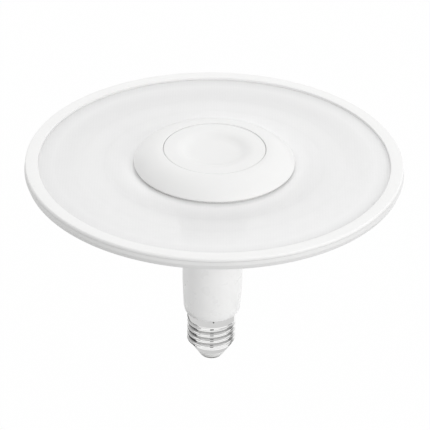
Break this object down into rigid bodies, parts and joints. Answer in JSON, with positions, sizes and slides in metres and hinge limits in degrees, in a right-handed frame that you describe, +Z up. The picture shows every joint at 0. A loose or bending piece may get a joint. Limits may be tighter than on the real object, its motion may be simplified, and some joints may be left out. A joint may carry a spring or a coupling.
{
  "type": "led disc lamp",
  "caption": "Edge-lit LED disc lamp: a flat light plate in a white rim on a trumpet-shaped housing that ends in a screw cap, with its driver inside.",
  "frame": {"origin": "lowest point of the centre contact, on the lamp's axis", "axes": "+Z up the lamp's axis from the screw cap to the disc, +X to the right and -Y to the front as pictured"},
  "size_m": [0.1999, 0.2, 0.1274],
  "materials": {
    "nickel_plate": "bright nickel plate on rolled brass",
    "contact_metal": "pressed and tinned",
    "white_insulator": "moulded, satin",
    "white_housing": "moulded, satin gloss",
    "dotted_acrylic": "clear acrylic over a printed white dot pattern",
    "reflector_tape": "matte white film",
    "white_rim": "moulded, satin gloss",
    "gasket_foam": "closed-cell foam",
    "white_cover": "moulded, satin gloss",
    "drawn_aluminium": "drawn, plain",
    "strip_circuit": "white solder mask",
    "led_package": "white package with a yellow phosphor window",
    "screw_steel": "zinc plated",
    "circuit_board": "green solder mask",
    "ferrite": "sintered, dull",
    "capacitor_sleeve": "shrunk sleeve",
    "film_capacitor_case": "dipped resin",
    "resistor_body": "lacquered",
    "chip_epoxy": "moulded epoxy",
    "red_lead": "insulated lead",
    "black_lead": "insulated lead"
  },
  "bodies": {
    "root": {"screw_shell": "nickel_plate", "centre_contact": "contact_metal", "base_insulator": "white_insulator", "housing": "white_housing", "light_guide_plate": "dotted_acrylic", "edge_reflector_band": "reflector_tape", "rear_frame": "white_rim", "front_bezel": "white_rim", "cover_gasket": "gasket_foam", "hub_cover": "white_cover", "centre_cap": "white_cover", "heat_sink": "drawn_aluminium", "led_strip": "strip_circuit", "led_chips": "led_package", "hub_screws": "screw_steel", "driver_board": "circuit_board", "transformer": "ferrite", "input_capacitor": "capacitor_sleeve", "output_capacitor": "capacitor_sleeve", "filter_choke": "ferrite", "film_capacitor": "film_capacitor_case", "fuse_resistor": "resistor_body", "rectifier_bridge": "chip_epoxy", "driver_chip": "chip_epoxy", "live_lead": "red_lead", "neutral_lead": "black_lead", "led_lead_positive": "red_lead", "led_lead_negative": "black_lead"}
  },
  "joints": []
}
